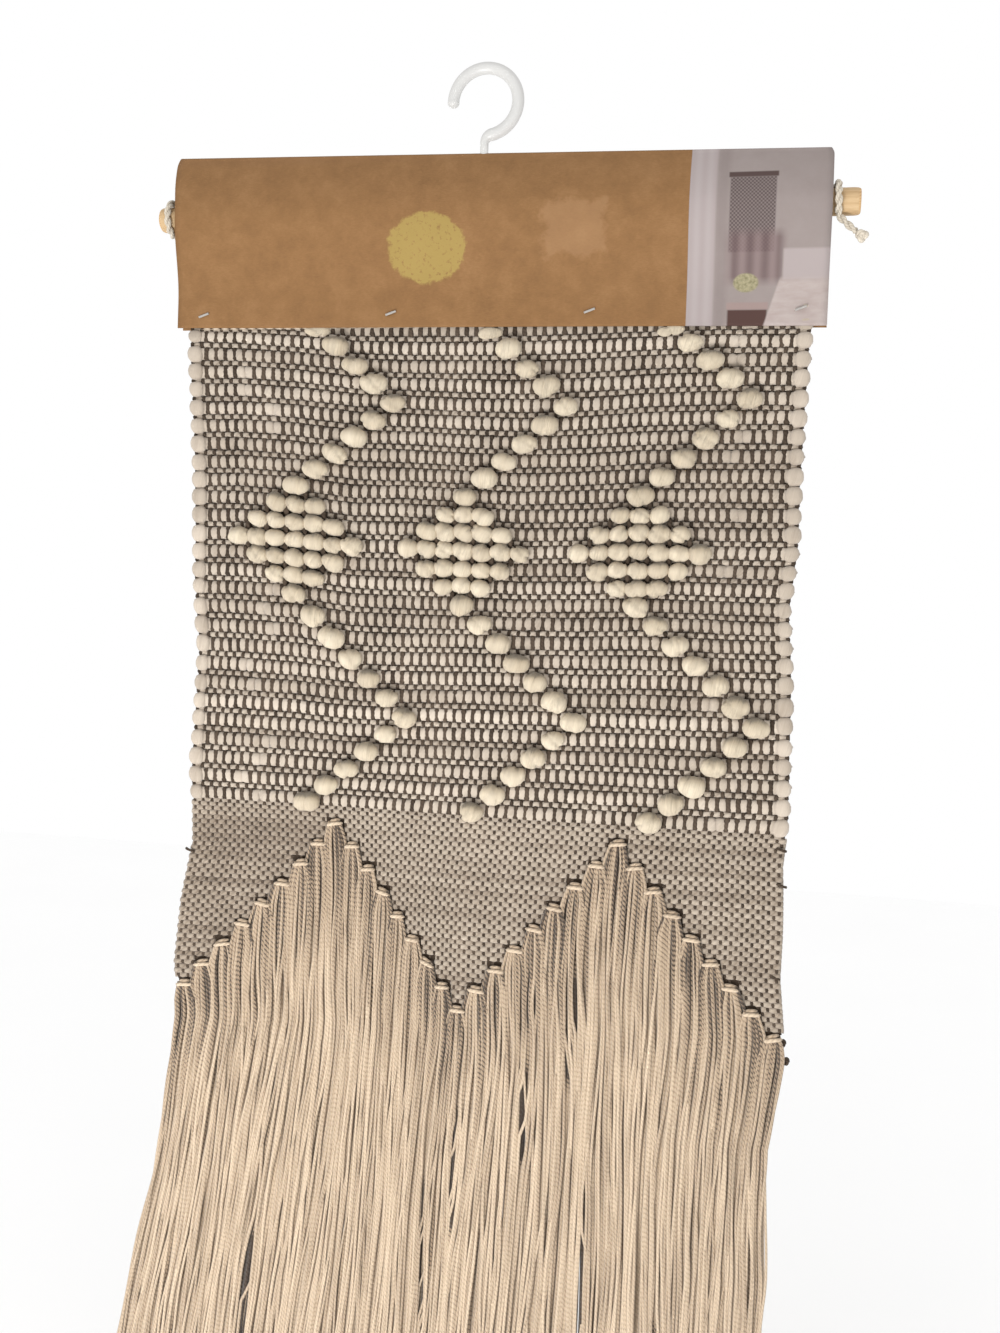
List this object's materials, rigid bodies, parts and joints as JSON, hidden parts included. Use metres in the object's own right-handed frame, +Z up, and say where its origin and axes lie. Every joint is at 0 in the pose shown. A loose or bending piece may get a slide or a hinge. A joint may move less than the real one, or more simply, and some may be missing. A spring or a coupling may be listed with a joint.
{
  "type": "woven wall hanging",
  "caption": "Woven textile wall hanging with bobble zigzags and a long fringe, on a wooden dowel held in a folded card with a swivelling plastic hook.",
  "frame": {"origin": "inside of the hook's crown, where a rail bears", "axes": "+Z up, +X to the right along the dowel, the front faces -Y"},
  "size_m": [0.4804, 0.025, 0.9971],
  "materials": {
    "hook_plastic": "translucent white moulded plastic",
    "pin_plastic": "thin clear-white nylon",
    "kraft_card": "uncoated brown kraft, printed picture strip at one end",
    "dowel_wood": "plain sanded softwood, straight grain",
    "woven_cloth": "charcoal warp over cream roving weft, matt",
    "bobble_roving": "soft cream roving, matt and fuzzy",
    "fringe_yarn": "plied tan cotton yarn, matt",
    "cotton_cord": "two-ply cotton cord, matt"
  },
  "bodies": {
    "hook": {"hook": "hook_plastic"},
    "header": {"hook_plate": "hook_plastic", "header_card": "kraft_card", "dowel_rod": "dowel_wood", "rod_sleeve": "woven_cloth", "tag_pin_1": "pin_plastic", "tag_pin_2": "pin_plastic", "tag_pin_3": "pin_plastic", "tag_pin_4": "pin_plastic", "hanging_cord": "cotton_cord", "cord_knot_left": "cotton_cord", "cord_knot_right": "cotton_cord"},
    "panel": {"woven_panel": "woven_cloth", "plain_band": "woven_cloth", "bobble_chain_left": "bobble_roving", "bobble_chain_centre": "bobble_roving", "bobble_chain_right": "bobble_roving"},
    "tassel_01": {"tassel_01": "fringe_yarn"},
    "tassel_02": {"tassel_02": "fringe_yarn"},
    "tassel_03": {"tassel_03": "fringe_yarn"},
    "tassel_04": {"tassel_04": "fringe_yarn"},
    "tassel_05": {"tassel_05": "fringe_yarn"},
    "tassel_06": {"tassel_06": "fringe_yarn"},
    "tassel_07": {"tassel_07": "fringe_yarn"},
    "tassel_08": {"tassel_08": "fringe_yarn"},
    "tassel_09": {"tassel_09": "fringe_yarn"},
    "tassel_10": {"tassel_10": "fringe_yarn"},
    "tassel_11": {"tassel_11": "fringe_yarn"},
    "tassel_12": {"tassel_12": "fringe_yarn"},
    "tassel_13": {"tassel_13": "fringe_yarn"},
    "tassel_14": {"tassel_14": "fringe_yarn"},
    "tassel_15": {"tassel_15": "fringe_yarn"},
    "tassel_16": {"tassel_16": "fringe_yarn"},
    "tassel_17": {"tassel_17": "fringe_yarn"},
    "tassel_18": {"tassel_18": "fringe_yarn"},
    "tassel_19": {"tassel_19": "fringe_yarn"},
    "tassel_20": {"tassel_20": "fringe_yarn"},
    "tassel_21": {"tassel_21": "fringe_yarn"},
    "tassel_22": {"tassel_22": "fringe_yarn"},
    "tassel_23": {"tassel_23": "fringe_yarn"},
    "tassel_24": {"tassel_24": "fringe_yarn"},
    "tassel_25": {"tassel_25": "fringe_yarn"},
    "tassel_26": {"tassel_26": "fringe_yarn"},
    "tassel_27": {"tassel_27": "fringe_yarn"},
    "tassel_28": {"tassel_28": "fringe_yarn"},
    "tassel_29": {"tassel_29": "fringe_yarn"},
    "tassel_30": {"tassel_30": "fringe_yarn"},
    "tassel_31": {"tassel_31": "fringe_yarn"},
    "tassel_32": {"tassel_32": "fringe_yarn"},
    "tassel_33": {"tassel_33": "fringe_yarn"}
  },
  "joints": [
    {"name": "header_turn", "type": "hinge", "parent": "hook", "child": "header", "pos_m": [0, 0, -0.049], "axis": [0, 0, 1], "continuous": true},
    {"name": "panel_swing", "type": "hinge", "parent": "header", "child": "panel", "pos_m": [0.007, 0, -0.1605], "axis": [1, 0, 0], "range_deg": [-25, 25]},
    {"name": "tassel_01_swing", "type": "hinge", "parent": "panel", "child": "tassel_01", "pos_m": [-0.1818, 0, -0.5879], "axis": [1, 0, 0], "range_deg": [-25, 25]},
    {"name": "tassel_02_swing", "type": "hinge", "parent": "panel", "child": "tassel_02", "pos_m": [-0.17, 0, -0.5736], "axis": [1, 0, 0], "range_deg": [-25, 25]},
    {"name": "tassel_03_swing", "type": "hinge", "parent": "panel", "child": "tassel_03", "pos_m": [-0.1582, 0, -0.5593], "axis": [1, 0, 0], "range_deg": [-25, 25]},
    {"name": "tassel_04_swing", "type": "hinge", "parent": "panel", "child": "tassel_04", "pos_m": [-0.1464, 0, -0.545], "axis": [1, 0, 0], "range_deg": [-25, 25]},
    {"name": "tassel_05_swing", "type": "hinge", "parent": "panel", "child": "tassel_05", "pos_m": [-0.1346, 0, -0.5307], "axis": [1, 0, 0], "range_deg": [-25, 25]},
    {"name": "tassel_06_swing", "type": "hinge", "parent": "panel", "child": "tassel_06", "pos_m": [-0.1228, 0, -0.5164], "axis": [1, 0, 0], "range_deg": [-25, 25]},
    {"name": "tassel_07_swing", "type": "hinge", "parent": "panel", "child": "tassel_07", "pos_m": [-0.111, 0, -0.5021], "axis": [1, 0, 0], "range_deg": [-25, 25]},
    {"name": "tassel_08_swing", "type": "hinge", "parent": "panel", "child": "tassel_08", "pos_m": [-0.0992, 0, -0.4878], "axis": [1, 0, 0], "range_deg": [-25, 25]},
    {"name": "fringe_swing", "type": "hinge", "parent": "panel", "child": "tassel_09", "pos_m": [-0.0874, 0, -0.4735], "axis": [1, 0, 0], "range_deg": [-25, 25]},
    {"name": "tassel_10_swing", "type": "hinge", "parent": "panel", "child": "tassel_10", "pos_m": [-0.0756, 0, -0.4878], "axis": [1, 0, 0], "range_deg": [-25, 25]},
    {"name": "tassel_11_swing", "type": "hinge", "parent": "panel", "child": "tassel_11", "pos_m": [-0.0638, 0, -0.5021], "axis": [1, 0, 0], "range_deg": [-25, 25]},
    {"name": "tassel_12_swing", "type": "hinge", "parent": "panel", "child": "tassel_12", "pos_m": [-0.052, 0, -0.5164], "axis": [1, 0, 0], "range_deg": [-25, 25]},
    {"name": "tassel_13_swing", "type": "hinge", "parent": "panel", "child": "tassel_13", "pos_m": [-0.0402, 0, -0.5307], "axis": [1, 0, 0], "range_deg": [-25, 25]},
    {"name": "tassel_14_swing", "type": "hinge", "parent": "panel", "child": "tassel_14", "pos_m": [-0.0284, 0, -0.545], "axis": [1, 0, 0], "range_deg": [-25, 25]},
    {"name": "tassel_15_swing", "type": "hinge", "parent": "panel", "child": "tassel_15", "pos_m": [-0.0166, 0, -0.5593], "axis": [1, 0, 0], "range_deg": [-25, 25]},
    {"name": "tassel_16_swing", "type": "hinge", "parent": "panel", "child": "tassel_16", "pos_m": [-0.0048, 0, -0.5736], "axis": [1, 0, 0], "range_deg": [-25, 25]},
    {"name": "tassel_17_swing", "type": "hinge", "parent": "panel", "child": "tassel_17", "pos_m": [0.007, 0, -0.5879], "axis": [1, 0, 0], "range_deg": [-25, 25]},
    {"name": "tassel_18_swing", "type": "hinge", "parent": "panel", "child": "tassel_18", "pos_m": [0.0188, 0, -0.5736], "axis": [1, 0, 0], "range_deg": [-25, 25]},
    {"name": "tassel_19_swing", "type": "hinge", "parent": "panel", "child": "tassel_19", "pos_m": [0.0306, 0, -0.5593], "axis": [1, 0, 0], "range_deg": [-25, 25]},
    {"name": "tassel_20_swing", "type": "hinge", "parent": "panel", "child": "tassel_20", "pos_m": [0.0424, 0, -0.545], "axis": [1, 0, 0], "range_deg": [-25, 25]},
    {"name": "tassel_21_swing", "type": "hinge", "parent": "panel", "child": "tassel_21", "pos_m": [0.0542, 0, -0.5307], "axis": [1, 0, 0], "range_deg": [-25, 25]},
    {"name": "tassel_22_swing", "type": "hinge", "parent": "panel", "child": "tassel_22", "pos_m": [0.066, 0, -0.5164], "axis": [1, 0, 0], "range_deg": [-25, 25]},
    {"name": "tassel_23_swing", "type": "hinge", "parent": "panel", "child": "tassel_23", "pos_m": [0.0778, 0, -0.5021], "axis": [1, 0, 0], "range_deg": [-25, 25]},
    {"name": "tassel_24_swing", "type": "hinge", "parent": "panel", "child": "tassel_24", "pos_m": [0.0896, 0, -0.4878], "axis": [1, 0, 0], "range_deg": [-25, 25]},
    {"name": "tassel_25_swing", "type": "hinge", "parent": "panel", "child": "tassel_25", "pos_m": [0.1014, 0, -0.4735], "axis": [1, 0, 0], "range_deg": [-25, 25]},
    {"name": "tassel_26_swing", "type": "hinge", "parent": "panel", "child": "tassel_26", "pos_m": [0.1132, 0, -0.4878], "axis": [1, 0, 0], "range_deg": [-25, 25]},
    {"name": "tassel_27_swing", "type": "hinge", "parent": "panel", "child": "tassel_27", "pos_m": [0.125, 0, -0.5021], "axis": [1, 0, 0], "range_deg": [-25, 25]},
    {"name": "tassel_28_swing", "type": "hinge", "parent": "panel", "child": "tassel_28", "pos_m": [0.1368, 0, -0.5164], "axis": [1, 0, 0], "range_deg": [-25, 25]},
    {"name": "tassel_29_swing", "type": "hinge", "parent": "panel", "child": "tassel_29", "pos_m": [0.1486, 0, -0.5307], "axis": [1, 0, 0], "range_deg": [-25, 25]},
    {"name": "tassel_30_swing", "type": "hinge", "parent": "panel", "child": "tassel_30", "pos_m": [0.1604, 0, -0.545], "axis": [1, 0, 0], "range_deg": [-25, 25]},
    {"name": "tassel_31_swing", "type": "hinge", "parent": "panel", "child": "tassel_31", "pos_m": [0.1722, 0, -0.5593], "axis": [1, 0, 0], "range_deg": [-25, 25]},
    {"name": "tassel_32_swing", "type": "hinge", "parent": "panel", "child": "tassel_32", "pos_m": [0.184, 0, -0.5736], "axis": [1, 0, 0], "range_deg": [-25, 25]},
    {"name": "tassel_33_swing", "type": "hinge", "parent": "panel", "child": "tassel_33", "pos_m": [0.1958, 0, -0.5879], "axis": [1, 0, 0], "range_deg": [-25, 25]}
  ],
  "couplings": [
    {"joint": "tassel_01_swing", "follows": "fringe_swing", "ratio": 1},
    {"joint": "tassel_02_swing", "follows": "fringe_swing", "ratio": 1},
    {"joint": "tassel_03_swing", "follows": "fringe_swing", "ratio": 1},
    {"joint": "tassel_04_swing", "follows": "fringe_swing", "ratio": 1},
    {"joint": "tassel_05_swing", "follows": "fringe_swing", "ratio": 1},
    {"joint": "tassel_06_swing", "follows": "fringe_swing", "ratio": 1},
    {"joint": "tassel_07_swing", "follows": "fringe_swing", "ratio": 1},
    {"joint": "tassel_08_swing", "follows": "fringe_swing", "ratio": 1},
    {"joint": "tassel_10_swing", "follows": "fringe_swing", "ratio": 1},
    {"joint": "tassel_11_swing", "follows": "fringe_swing", "ratio": 1},
    {"joint": "tassel_12_swing", "follows": "fringe_swing", "ratio": 1},
    {"joint": "tassel_13_swing", "follows": "fringe_swing", "ratio": 1},
    {"joint": "tassel_14_swing", "follows": "fringe_swing", "ratio": 1},
    {"joint": "tassel_15_swing", "follows": "fringe_swing", "ratio": 1},
    {"joint": "tassel_16_swing", "follows": "fringe_swing", "ratio": 1},
    {"joint": "tassel_17_swing", "follows": "fringe_swing", "ratio": 1},
    {"joint": "tassel_18_swing", "follows": "fringe_swing", "ratio": 1},
    {"joint": "tassel_19_swing", "follows": "fringe_swing", "ratio": 1},
    {"joint": "tassel_20_swing", "follows": "fringe_swing", "ratio": 1},
    {"joint": "tassel_21_swing", "follows": "fringe_swing", "ratio": 1},
    {"joint": "tassel_22_swing", "follows": "fringe_swing", "ratio": 1},
    {"joint": "tassel_23_swing", "follows": "fringe_swing", "ratio": 1},
    {"joint": "tassel_24_swing", "follows": "fringe_swing", "ratio": 1},
    {"joint": "tassel_25_swing", "follows": "fringe_swing", "ratio": 1},
    {"joint": "tassel_26_swing", "follows": "fringe_swing", "ratio": 1},
    {"joint": "tassel_27_swing", "follows": "fringe_swing", "ratio": 1},
    {"joint": "tassel_28_swing", "follows": "fringe_swing", "ratio": 1},
    {"joint": "tassel_29_swing", "follows": "fringe_swing", "ratio": 1},
    {"joint": "tassel_30_swing", "follows": "fringe_swing", "ratio": 1},
    {"joint": "tassel_31_swing", "follows": "fringe_swing", "ratio": 1},
    {"joint": "tassel_32_swing", "follows": "fringe_swing", "ratio": 1},
    {"joint": "tassel_33_swing", "follows": "fringe_swing", "ratio": 1}
  ]
}
